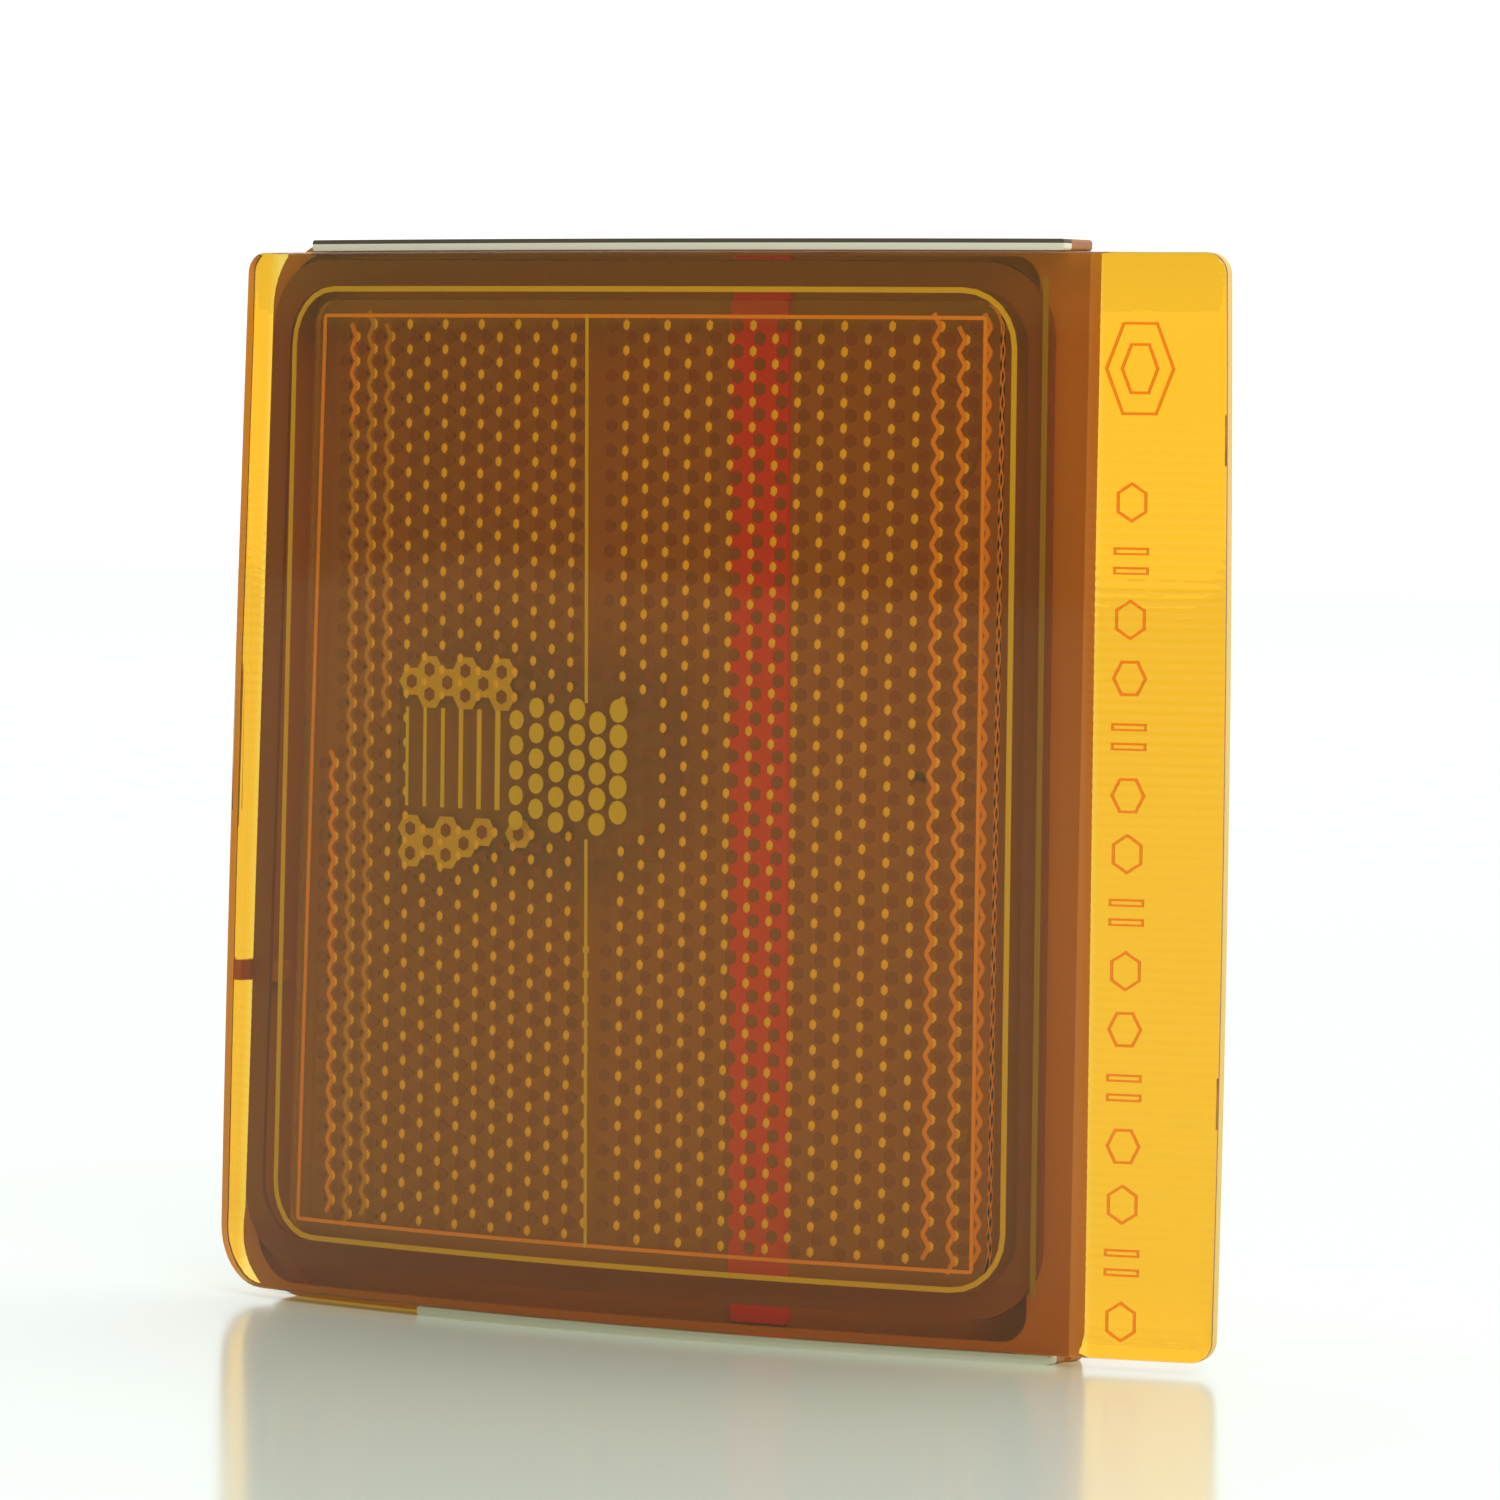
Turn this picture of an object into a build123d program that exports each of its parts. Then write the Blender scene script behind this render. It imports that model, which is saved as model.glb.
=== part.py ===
# Side marker lamp with reflex reflector: curved amber lens on a shallow housing.
# +Z up, lens faces -Y, X runs along the lens. Millimetres.
# Origin: bottom centre of the whole lamp, on the surface it stands on.
# Plan positions are given as (arc length along the lens front, depth behind it).

from math import cos, radians, sin
import os

from build123d import *

os.makedirs("parts", exist_ok=True)

# Lens
lens_radius = 232.3
lens_thickness = 2.4
lens_height = 102.0
lens_base = 1.0
lens_top_left = -53.85
lens_bottom_left = -56.75
lens_left_bow = 0.4
lens_right = 56.2
lens_right_bow = 0.45
lens_corner = 2.0
lens_lower_left_corner = 6.0

# Weld rib ring on the back of the lens, and the sealant bead on it
rib_width = 3.2
rib_height = 1.5
rib_corner = 7.0
seal_thickness = 0.5
seal_inset = 0.4

# Reflex plate behind the lens
reflex_gap = 0.25
reflex_thickness = 3.4
reflex_corner = 3.0
reflex_left_top = -46.0
reflex_left_bottom = -49.0
reflex_right = 33.8
reflex_bottom = 6.6
reflex_top = 97.0

# Housing
wall = 2.0
housing_height = 104.2
housing_top_left = -52.4
housing_bottom_left = -55.8
housing_right = 38.3
housing_corner = 7.0
housing_floor_depth = 9.5
ledge_top_right = 41.2
ledge_bottom_right = 40.5
lip_front_depth = 1.2
lip_clearance = 0.15
top_lip_span = (-45.5, 40.0)
bottom_lip_span = (-30.0, 40.0)
tab_height = 2.0
tab_start = -56.1
tab_root = -51.0
tab_gap = 0.2
tab_centre = 32.1

# Strip on the housing floor
strip_width = 6.2
strip_thickness = 0.5
strip_top = 4.9
strip_bottom = 5.9
strip_ends = (2.3, 101.8)

# Bulb chamber on the back of the housing, and the bulb axis along X in it
axis_y = 27.0
axis_z = 53.5
chamber_left = -38.0
chamber_right = 7.0
chamber_half_height = 11.5
chamber_back = 38.6
window_span = (-36.0, -6.6)
window_half_height = 6.0
reflector_radius = 9.0
reflector_thickness = 0.4

# Bulb
glass_radius = 5.15
glass_wall = 0.6
glass_tip = -5.0
glass_start = -22.0
wedge_end = -31.8
wedge_half_width = 4.6
wedge_half_thickness = 1.2
wire_radius = 0.25
support_spread = 2.5
filament_x = -10.5
filament_radius = 0.3

# Bulb holder
barrel_radius = 7.8
barrel_front = -20.0
hole_clearance = 0.3
lug_reach = 9.0
lug_half_angle = 14.0
lug_thickness = 1.8
unlock_angle = 45.0
flange_radius = 10.4
flange_thickness = 1.8
gasket_thickness = 1.1
gasket_gap = 0.1
grip_radius = 8.0
grip_rib_radius = 8.9
grip_end = -46.0
shroud_end = -55.5
shroud_height = 16.0
shroud_depth = 11.0
shroud_wall = 1.5
contact_width = 3.0
contact_thickness = 0.5
contact_inner = 1.75
contact_offset = 2.5
blade_end = -53.5

# Mounting studs and vent
stud_radius = 2.5
stud_head_radius = 3.4
stud_length = 16.0
stud_x = 22.0
stud_heights = {"stud_lower": 21.5, "stud_upper": 85.5}
boss_radius = 6.0
boss_back = 18.0
stud_root = 12.5
vent_x = 22.0
vent_radius = 3.6
vent_hole_radius = 0.9
vent_recess_front = 14.5
vent_boss_radius = 5.0
vent_cap_radius = 6.4
vent_cap_height = 3.4

rib_back = lens_thickness + rib_height
housing_front = rib_back + seal_thickness
housing_back = housing_floor_depth + wall
lens_top = lens_base + lens_height


def plan_point(arc, depth=0.0):
    """X and Y of a point at an arc length along the lens front and a depth behind it."""
    turn = arc / lens_radius
    reach = lens_radius - depth
    return reach * sin(turn), lens_radius - reach * cos(turn)


def shell(front, back):
    """Tall curved band concentric with the lens, between two depths behind its front."""
    ring = Circle(lens_radius - front) - Circle(lens_radius - back)
    band = extrude(Pos(0, lens_radius, -20) * ring, 150)
    return band & Pos(0, 40, 50) * Box(200, 100, 200)


def block(outline):
    """Outline in X and Z, run through the whole depth of the lamp."""
    return extrude(Plane.XZ.offset(10) * outline, -80)


def side_x(arc):
    return plan_point(arc)[0]


def rounded(face, corners):
    """Fillet the corner of a flat outline nearest each point with its own radius."""
    for x, z, radius in corners:
        face = fillet(face.vertices().sort_by_distance((x, z, 0))[0], radius)
    return face


def outline(left_top, left_bottom, right_top, right_bottom, bottom, top, radii):
    """Four-sided outline from arc lengths; radii run top left, top right, bottom right, bottom left."""
    points = [
        (side_x(left_top), top),
        (side_x(right_top), top),
        (side_x(right_bottom), bottom),
        (side_x(left_bottom), bottom),
    ]
    face = make_face(Polyline(*points, close=True))
    return rounded(face, [(x, z, radius) for (x, z), radius in zip(points, radii)])


def lens_outline():
    """Lens outline: both ends are slightly bowed, and the lower left corner is large."""
    middle = lens_base + lens_height / 2
    top_left = (side_x(lens_top_left), lens_top)
    top_right = (side_x(lens_right), lens_top)
    bottom_right = (side_x(lens_right), lens_base)
    bottom_left = (side_x(lens_bottom_left), lens_base)
    left_middle = ((top_left[0] + bottom_left[0]) / 2 - lens_left_bow, middle)
    edges = [
        Line(top_left, top_right),
        ThreePointArc(top_right, (top_right[0] + lens_right_bow, middle), bottom_right),
        Line(bottom_right, bottom_left),
        ThreePointArc(bottom_left, left_middle, top_left),
    ]
    corners = [
        (*top_left, lens_corner),
        (*top_right, lens_corner),
        (*bottom_right, lens_corner),
        (*bottom_left, lens_lower_left_corner),
    ]
    return rounded(make_face(edges), corners)


def rib_outline(inset=0.0):
    """Outline of the weld rib, drawn in by an inset from its outer edge."""
    corner = rib_corner - inset * 0.6
    return outline(
        housing_top_left + 0.1 + inset,
        housing_bottom_left + 0.2 + inset,
        housing_right - inset,
        housing_right - inset,
        lens_base + 2.4 + inset,
        lens_top - 0.8 - inset,
        [corner] * 4,
    )


def housing_outline(inset=0.0):
    corner = housing_corner - inset
    return outline(
        housing_top_left + inset,
        housing_bottom_left + inset,
        housing_right - inset,
        housing_right - inset,
        inset,
        housing_height - inset,
        [corner, corner / 2, corner / 2, corner],
    )


def along_x(radius, start, end, y=axis_y, z=axis_z):
    """Cylinder along X between two X positions, on the bulb axis unless told otherwise."""
    middle = (start + end) / 2
    return Pos(middle, y, z) * Rot(0, 90, 0) * Cylinder(radius, abs(end - start))


def box_x(start, end, size_y, size_z, y=axis_y, z=axis_z):
    """Block along X between two X positions, centred on the bulb axis unless told otherwise."""
    return Pos((start + end) / 2, y, z) * Box(abs(end - start), size_y, size_z)


def along_y(radius, start, end, x, z):
    return Pos(x, (start + end) / 2, z) * Rot(90, 0, 0) * Cylinder(radius, abs(end - start))


def arm(reach, start, end, angle, half_angle):
    """Two opposite sectors about the bulb axis, from the axis out to a reach."""
    width = 2 * reach * sin(radians(half_angle))
    centre = Pos((start + end) / 2, axis_y, axis_z)
    bar = centre * Rot(angle, 0, 0) * Box(abs(end - start), 2 * reach + 1, width)
    return bar & along_x(reach, start, end)


def lip(span, bottom, top):
    """Edge of the housing that shows above or below the lens, over part of its width."""
    return shell(lip_front_depth, housing_front + wall) & block(
        outline(span[0], span[0], span[1], span[1], bottom, top, [0.3] * 4)
    )


def make_lens():
    plate = shell(0, lens_thickness) & block(lens_outline())
    ring = block(rib_outline()) - block(rib_outline(rib_width))
    return plate + (shell(lens_thickness - 0.5, rib_back) & ring)


def make_lens_seal():
    ring = block(rib_outline(seal_inset)) - block(rib_outline(rib_width - seal_inset))
    return shell(rib_back, housing_front) & ring


def make_reflex_plate():
    front = lens_thickness + reflex_gap
    face = outline(
        reflex_left_top,
        reflex_left_bottom,
        reflex_right,
        reflex_right,
        lens_base + reflex_bottom,
        lens_base + reflex_top,
        [reflex_corner] * 4,
    )
    return shell(front, front + reflex_thickness) & block(face)


def chamber_box(inset, left, right):
    """Bulb chamber block, drawn in by an inset on its top, bottom and back."""
    front = 9.0
    back = chamber_back - inset
    half = chamber_half_height - inset
    body = Pos((left + right) / 2, (front + back) / 2, axis_z) * Box(right - left, back - front, 2 * half)
    rear_edges = body.edges().filter_by(Axis.X).group_by(Axis.Y)[-1]
    return fillet(rear_edges, 5.0 - inset)


def make_housing():
    rear_wall = shell(housing_floor_depth, housing_back) & block(housing_outline())
    side_wall = shell(housing_front, housing_back) & (block(housing_outline()) - block(housing_outline(wall)))
    ledge_face = outline(
        housing_right - wall,
        housing_right - wall,
        ledge_top_right,
        ledge_bottom_right,
        0,
        lens_top,
        [0.5] * 4,
    )
    ledge = shell(housing_front, housing_front + wall) & block(ledge_face)
    body = rear_wall + side_wall + ledge
    body += lip(top_lip_span, lens_top + lip_clearance, housing_height)
    body += lip(bottom_lip_span, 0, lens_base - lip_clearance)
    # Locating tab that reaches out behind the left flange of the lens
    tab_ends = (tab_centre - tab_height / 2, tab_centre + tab_height / 2)
    tab_face = outline(tab_start, tab_start, tab_root, tab_root, *tab_ends, [0.3] * 4)
    tab = shell(lens_thickness + tab_gap, housing_front + wall) & block(tab_face)
    body += tab - (shell(0, housing_front) & block(rib_outline(-tab_gap)))
    # Chamber that holds the bulb, open to the front through a window in the rear wall
    solid = chamber_box(0, chamber_left, chamber_right) - shell(-1, housing_floor_depth)
    body += solid
    hollow = chamber_box(wall, chamber_left + wall, chamber_right - wall)
    body -= hollow - shell(-1, housing_back)
    body -= box_x(*window_span, 12, 2 * window_half_height, y=12.0)
    # Hole in the left end wall for the bulb holder, with two keyways
    body -= along_x(barrel_radius + hole_clearance, chamber_left - 1, chamber_left + wall + 1)
    body -= arm(
        lug_reach + hole_clearance,
        chamber_left - 1,
        chamber_left + wall + 1,
        unlock_angle,
        lug_half_angle + 3,
    )
    # Bosses for the studs, and the vent spout
    for height in stud_heights.values():
        body += along_y(boss_radius, housing_floor_depth + 1, boss_back, stud_x, height)
        body -= along_y(stud_head_radius, stud_root, boss_back + 1, stud_x, height)
    body += along_y(vent_boss_radius, housing_floor_depth + 1, boss_back - 2, vent_x, axis_z)
    body -= along_y(vent_hole_radius, housing_floor_depth - 1, boss_back, vent_x, axis_z)
    body -= along_y(vent_radius, vent_recess_front, boss_back, vent_x, axis_z)
    return body


def make_red_strip():
    half = strip_width / 2
    face = outline(
        strip_top - half, strip_bottom - half, strip_top + half, strip_bottom + half, *strip_ends, [0.5] * 4
    )
    return shell(housing_floor_depth - strip_thickness, housing_floor_depth) & block(face)


def make_bulb_reflector():
    """Half trough of bright sheet behind the bulb, with a flat end behind its tip."""
    start = barrel_front + 1
    end = chamber_right - wall - 0.5
    tube = along_x(reflector_radius, start, end) - along_x(reflector_radius - reflector_thickness, start, end)
    back_half = Pos(0, axis_y + 20, axis_z) * Box(200, 40, 60)
    end_disc = along_x(reflector_radius, end - reflector_thickness, end)
    return (tube + end_disc) & back_half


def capsule(radius, start, tip):
    """Cylinder along X with a hemispherical tip."""
    return along_x(radius, start, tip - radius) + Pos(tip - radius, axis_y, axis_z) * Sphere(radius)


def make_bulb_glass():
    envelope = capsule(glass_radius, glass_start, glass_tip)
    wedge = box_x(wedge_end, glass_start + 1, 2 * wedge_half_thickness, 2 * wedge_half_width)
    hollow = capsule(glass_radius - glass_wall, glass_start + 1.0, glass_tip - glass_wall)
    return envelope + wedge - hollow


def make_bulb_supports():
    wires = [
        along_x(wire_radius, glass_start + 1.0, filament_x + 0.3, z=axis_z + side * support_spread)
        for side in (-1, 1)
    ]
    return Compound(children=wires)


def make_bulb_bead():
    bar = Pos(glass_start + 4.5, axis_y, axis_z) * Cylinder(0.7, 2 * support_spread + 1.8)
    for side in (-1, 1):
        bar -= along_x(wire_radius, glass_start, filament_x, z=axis_z + side * support_spread)
    return bar


def make_bulb_filament():
    length = 2 * (support_spread - wire_radius)
    return Pos(filament_x, axis_y, axis_z) * Cylinder(filament_radius, length)


def contact_places():
    """Side of the wedge, and height, of each contact: the front one is high, the rear one low."""
    return {"contact_front": (-1, 1), "contact_rear": (1, -1)}


def make_bulb_leads():
    reach = wedge_half_thickness + wire_radius
    leads = [
        along_x(
            wire_radius,
            wedge_end,
            glass_start - 1.0,
            y=axis_y + side * reach,
            z=axis_z + rise * contact_offset,
        )
        for side, rise in contact_places().values()
    ]
    return Compound(children=leads)


def make_contact(side, rise):
    """Stamped strip: it bears on a bulb lead at one end and is a connector blade at the other."""
    middle = contact_inner + contact_thickness / 2
    return box_x(
        blade_end,
        wedge_end + 7.0,
        contact_thickness,
        contact_width,
        y=axis_y + side * middle,
        z=axis_z + rise * contact_offset,
    )


def make_socket_body():
    flange_front = chamber_left - gasket_gap - gasket_thickness
    flange_end = flange_front - flange_thickness
    body = along_x(barrel_radius, flange_front, barrel_front)
    body += along_x(flange_radius, flange_end, flange_front)
    lug_start = chamber_left + wall + 0.2
    body += arm(lug_reach, lug_start, lug_start + lug_thickness, 0, lug_half_angle)
    body += along_x(grip_radius, grip_end, flange_end)
    for count in range(8):
        rib = box_x(grip_end, flange_end, 2 * grip_rib_radius, 1.2)
        body += Pos(0, axis_y, axis_z) * Rot(22.5 * count, 0, 0) * Pos(0, -axis_y, -axis_z) * rib
    shroud = box_x(shroud_end, grip_end, shroud_depth, shroud_height)
    body += fillet(shroud.edges().filter_by(Axis.X), 1.5)
    inlet = box_x(
        shroud_end - 1,
        grip_end - 0.5,
        shroud_depth - 2 * shroud_wall,
        shroud_height - 2 * shroud_wall,
    )
    body -= inlet
    # Bore for the glass and slot for the wedge
    body -= along_x(glass_radius + hole_clearance, glass_start - 0.6, barrel_front + 1)
    body -= box_x(wedge_end - 0.6, glass_start, 2 * contact_inner, 2 * wedge_half_width + 0.6)
    return body


def make_socket_gasket():
    start = chamber_left - gasket_gap
    end = start - gasket_thickness
    return along_x(flange_radius - 0.3, end, start) - along_x(barrel_radius, end, start)


def make_stud(height):
    """Stud with a wider head moulded into its boss, flush with the boss face."""
    tip = boss_back + stud_length
    shank = along_y(stud_radius, boss_back - 0.5, tip, stud_x, height)
    shank = chamfer(shank.edges().group_by(Axis.Y)[-1], 0.6)
    return shank + along_y(stud_head_radius, stud_root, boss_back, stud_x, height)


def make_vent_cap():
    start = boss_back - 4.0
    end = start + vent_cap_height
    cap = along_y(vent_cap_radius, start, end, vent_x, axis_z)
    return cap - along_y(vent_boss_radius, start, boss_back - 2, vent_x, axis_z)


def make_vent_membrane():
    return along_y(vent_radius, boss_back - 2.4, boss_back - 2, vent_x, axis_z)


parts = {
    "lens": make_lens(),
    "lens_seal": make_lens_seal(),
    "reflex_plate": make_reflex_plate(),
    "housing": make_housing(),
    "red_strip": make_red_strip(),
    "bulb_reflector": make_bulb_reflector(),
    "bulb_glass": make_bulb_glass(),
    "bulb_supports": make_bulb_supports(),
    "bulb_bead": make_bulb_bead(),
    "bulb_filament": make_bulb_filament(),
    "bulb_leads": make_bulb_leads(),
    "socket_gasket": make_socket_gasket(),
    "vent_cap": make_vent_cap(),
    "vent_membrane": make_vent_membrane(),
}
socket_body = make_socket_body()
for name, (side, rise) in contact_places().items():
    parts[name] = make_contact(side, rise)
    socket_body -= parts[name]
parts["socket_body"] = socket_body
for name, height in stud_heights.items():
    parts[name] = make_stud(height)

# The lens front stands at Y = 0 up to here: centre the whole depth on the origin
to_origin = Pos(0, -chamber_back / 2, 0)
for name, shape in parts.items():
    export_step(to_origin * shape, f"parts/{name}.step")
    print(name, "written")
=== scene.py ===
import math

import bmesh
import bpy
from mathutils import Matrix, Vector


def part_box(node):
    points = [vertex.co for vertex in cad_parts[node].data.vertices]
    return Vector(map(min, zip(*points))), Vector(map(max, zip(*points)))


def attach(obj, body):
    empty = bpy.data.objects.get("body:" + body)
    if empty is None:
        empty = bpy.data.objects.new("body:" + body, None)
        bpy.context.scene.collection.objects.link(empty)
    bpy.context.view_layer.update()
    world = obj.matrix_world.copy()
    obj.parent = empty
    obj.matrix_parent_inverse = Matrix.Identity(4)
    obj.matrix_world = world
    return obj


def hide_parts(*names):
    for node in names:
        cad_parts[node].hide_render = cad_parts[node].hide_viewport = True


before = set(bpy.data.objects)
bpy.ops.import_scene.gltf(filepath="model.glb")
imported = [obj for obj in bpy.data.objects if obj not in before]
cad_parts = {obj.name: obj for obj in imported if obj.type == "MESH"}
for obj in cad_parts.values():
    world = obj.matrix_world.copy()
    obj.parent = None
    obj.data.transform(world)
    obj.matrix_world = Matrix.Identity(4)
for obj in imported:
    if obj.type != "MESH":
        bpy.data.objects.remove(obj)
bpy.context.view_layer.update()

mm = 0.001
lamp = {
    "radius": 232.3 * mm,  # curve of the lens front
    "pinPitch": 2.3835 * mm,  # height of one hexagonal pin
    "sliceStep": 1.6 * mm,  # length of the flats that make up a bent piece
}
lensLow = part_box("lens")[0]
frontY = lensLow[1]
baseZ = lensLow[2]


# Making and finishing meshes

# Plan position of a point at an arc length s and a depth behind the lens front
def place(s, depth):
    turn = s / lamp["radius"]
    reach = lamp["radius"] - depth
    return reach * math.sin(turn), frontY + lamp["radius"] - reach * math.cos(turn)


def bend(bm):
    for v in bm.verts:
        v.co.x, v.co.y = place(v.co.x, v.co.y)


# Cuts a flat mesh into strips so that it can be bent
def slices(bm, step, axis=0):
    low = min(v.co[axis] for v in bm.verts)
    high = max(v.co[axis] for v in bm.verts)
    count = int((high - low) / step)
    normal = [0, 0, 0]
    normal[axis] = 1
    for i in range(1, count + 1):
        point = [0, 0, 0]
        point[axis] = low + (high - low) * i / (count + 1)
        geom = bm.verts[:] + bm.edges[:] + bm.faces[:]
        bmesh.ops.bisect_plane(bm, geom=geom, dist=1e-7, plane_co=point, plane_no=normal)


def finishMesh(bm, name, material, body="lamp", smooth=30, recalc=True):
    bmesh.ops.remove_doubles(bm, verts=bm.verts, dist=1e-6)
    if recalc:
        bmesh.ops.recalc_face_normals(bm, faces=bm.faces)
    for face in bm.faces:
        face.smooth = smooth > 0
    for edge in bm.edges:
        edge.smooth = len(edge.link_faces) == 2 and edge.calc_face_angle(0) < math.radians(smooth)
    mesh = bpy.data.meshes.new(name)
    bm.to_mesh(mesh)
    bm.free()
    piece = bpy.data.objects.new(name, mesh)
    bpy.context.scene.collection.objects.link(piece)
    mesh.materials.append(material)
    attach(piece, body)
    return piece


# Flat four-cornered face in X and Z with round corners, corners run round from the top left
def outlineFace(bm, corners, radii, segments=10):
    verts = [bm.verts.new((x * mm, 0, baseZ + z * mm)) for x, z in corners]
    bm.faces.new(verts)
    for vert, radius in zip(verts, radii):
        if radius:
            bmesh.ops.bevel(bm, geom=[vert], offset=radius * mm, segments=segments, profile=0.5,
                            affect="VERTICES", material=-1)
    return bm.faces[:]


# Turns a flat sheet into a slab between two depths
def thicken(bm, front, back):
    for v in bm.verts:
        v.co.y = front * mm
    made = bmesh.ops.extrude_face_region(bm, geom=bm.faces[:])
    for v in [g for g in made["geom"] if isinstance(g, bmesh.types.BMVert)]:
        v.co.y = back * mm


# Materials

def newMaterial(name):
    mat = bpy.data.materials.new(name)
    mat.use_nodes = True
    nodes = mat.node_tree.nodes
    return mat, nodes, mat.node_tree.links, nodes["Principled BSDF"]


def groupNode(nodes, group, **values):
    node = nodes.new("ShaderNodeGroup")
    node.node_tree = group
    for key, value in values.items():
        node.inputs[key].default_value = value
    return node


moulding = {"broadScale": 60, "broadDetail": 3, "fineDetail": 4, "roughness": (0.38, 0.62), "bumpDepth": 0.05}


# Colour and height that vary over a moulded surface
def makeGrainGroup():
    tree = bpy.data.node_groups.new("mouldedGrain", "ShaderNodeTree")
    face = tree.interface
    face.new_socket("Light", in_out="INPUT", socket_type="NodeSocketColor")
    face.new_socket("Dark", in_out="INPUT", socket_type="NodeSocketColor")
    face.new_socket("Scale", in_out="INPUT", socket_type="NodeSocketFloat")
    face.new_socket("Color", in_out="OUTPUT", socket_type="NodeSocketColor")
    face.new_socket("Roughness", in_out="OUTPUT", socket_type="NodeSocketFloat")
    face.new_socket("Height", in_out="OUTPUT", socket_type="NodeSocketFloat")
    nodes, links = tree.nodes, tree.links
    entry = nodes.new("NodeGroupInput")
    leave = nodes.new("NodeGroupOutput")
    coords = nodes.new("ShaderNodeTexCoord")
    broad = nodes.new("ShaderNodeTexNoise")
    broad.inputs["Scale"].default_value = moulding["broadScale"]
    broad.inputs["Detail"].default_value = moulding["broadDetail"]
    fine = nodes.new("ShaderNodeTexNoise")
    fine.inputs["Detail"].default_value = moulding["fineDetail"]
    links.new(entry.outputs["Scale"], fine.inputs["Scale"])
    mix = nodes.new("ShaderNodeMix")
    mix.data_type = "RGBA"
    rough = nodes.new("ShaderNodeMapRange")
    rough.inputs["To Min"].default_value = moulding["roughness"][0]
    rough.inputs["To Max"].default_value = moulding["roughness"][1]
    for node in (broad, fine):
        links.new(coords.outputs["Object"], node.inputs["Vector"])
    links.new(broad.outputs["Fac"], mix.inputs["Factor"])
    links.new(entry.outputs["Light"], mix.inputs["A"])
    links.new(entry.outputs["Dark"], mix.inputs["B"])
    links.new(mix.outputs["Result"], leave.inputs["Color"])
    links.new(fine.outputs["Fac"], rough.inputs["Value"])
    links.new(rough.outputs["Result"], leave.inputs["Roughness"])
    links.new(fine.outputs["Fac"], leave.inputs["Height"])
    return tree


# Ends of the housing along X. The left end leans, by a share of the height.
backing = {"left": -52.0, "right": 43.5, "soft": 0.8, "lean": -0.035, "leanStart": 1.8}


# Where the housing stands behind the lens: 1 over it, 0 over the free flanges. It places the lighter lens
# tint there, which is painted light, and keeps the fine lines to the free flanges.
def makeBackedGroup():
    tree = bpy.data.node_groups.new("backedByHousing", "ShaderNodeTree")
    face = tree.interface
    for name in ("left", "right", "soft"):
        socket = face.new_socket(name.capitalize(), in_out="INPUT", socket_type="NodeSocketFloat")
        socket.default_value = backing[name] * mm
    face.new_socket("Mask", in_out="OUTPUT", socket_type="NodeSocketFloat")
    nodes, links = tree.nodes, tree.links
    entry = nodes.new("NodeGroupInput")
    leave = nodes.new("NodeGroupOutput")
    coords = nodes.new("ShaderNodeTexCoord")
    split = nodes.new("ShaderNodeSeparateXYZ")
    links.new(coords.outputs["Object"], split.inputs["Vector"])
    rake = nodes.new("ShaderNodeMath")
    rake.operation = "MULTIPLY_ADD"
    rake.inputs[1].default_value = backing["lean"]
    rake.inputs[2].default_value = backing["leanStart"] * mm
    links.new(split.outputs["Z"], rake.inputs[0])
    straight = nodes.new("ShaderNodeMath")
    straight.operation = "ADD"
    links.new(split.outputs["X"], straight.inputs[0])
    links.new(rake.outputs[0], straight.inputs[1])
    sides = []
    for name, source, sign in (("Left", straight.outputs[0], 1), ("Right", split.outputs["X"], -1)):
        gap = nodes.new("ShaderNodeMath")
        gap.operation = "SUBTRACT"
        links.new(source, gap.inputs[0 if sign > 0 else 1])
        links.new(entry.outputs[name], gap.inputs[1 if sign > 0 else 0])
        ramp = nodes.new("ShaderNodeMapRange")
        ramp.interpolation_type = "SMOOTHSTEP"
        links.new(gap.outputs[0], ramp.inputs["Value"])
        links.new(entry.outputs["Soft"], ramp.inputs["From Max"])
        sides.append(ramp)
    both = nodes.new("ShaderNodeMath")
    both.operation = "MULTIPLY"
    links.new(sides[0].outputs["Result"], both.inputs[0])
    links.new(sides[1].outputs["Result"], both.inputs[1])
    links.new(both.outputs[0], leave.inputs["Mask"])
    return tree


grainGroup = makeGrainGroup()
backedGroup = makeBackedGroup()


def mouldedPlastic(name, light, dark, fineness=2500, bump=0.15):
    mat, nodes, links, shader = newMaterial(name)
    group = groupNode(nodes, grainGroup, Light=(*light, 1), Dark=(*dark, 1), Scale=fineness)
    bumpNode = nodes.new("ShaderNodeBump")
    bumpNode.inputs["Strength"].default_value = bump
    bumpNode.inputs["Distance"].default_value = moulding["bumpDepth"] * mm
    links.new(group.outputs["Color"], shader.inputs["Base Color"])
    links.new(group.outputs["Roughness"], shader.inputs["Roughness"])
    links.new(group.outputs["Height"], bumpNode.inputs["Height"])
    links.new(bumpNode.outputs["Normal"], shader.inputs["Normal"])
    return mat


clearResin = {
    "ior": 1.49,
    "specular": 0.1,
    "lineScale": 330,
    "lineWaver": 0.6,
    "lineBump": 0.12,
    "lineDepth": 0.04,
}
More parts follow.
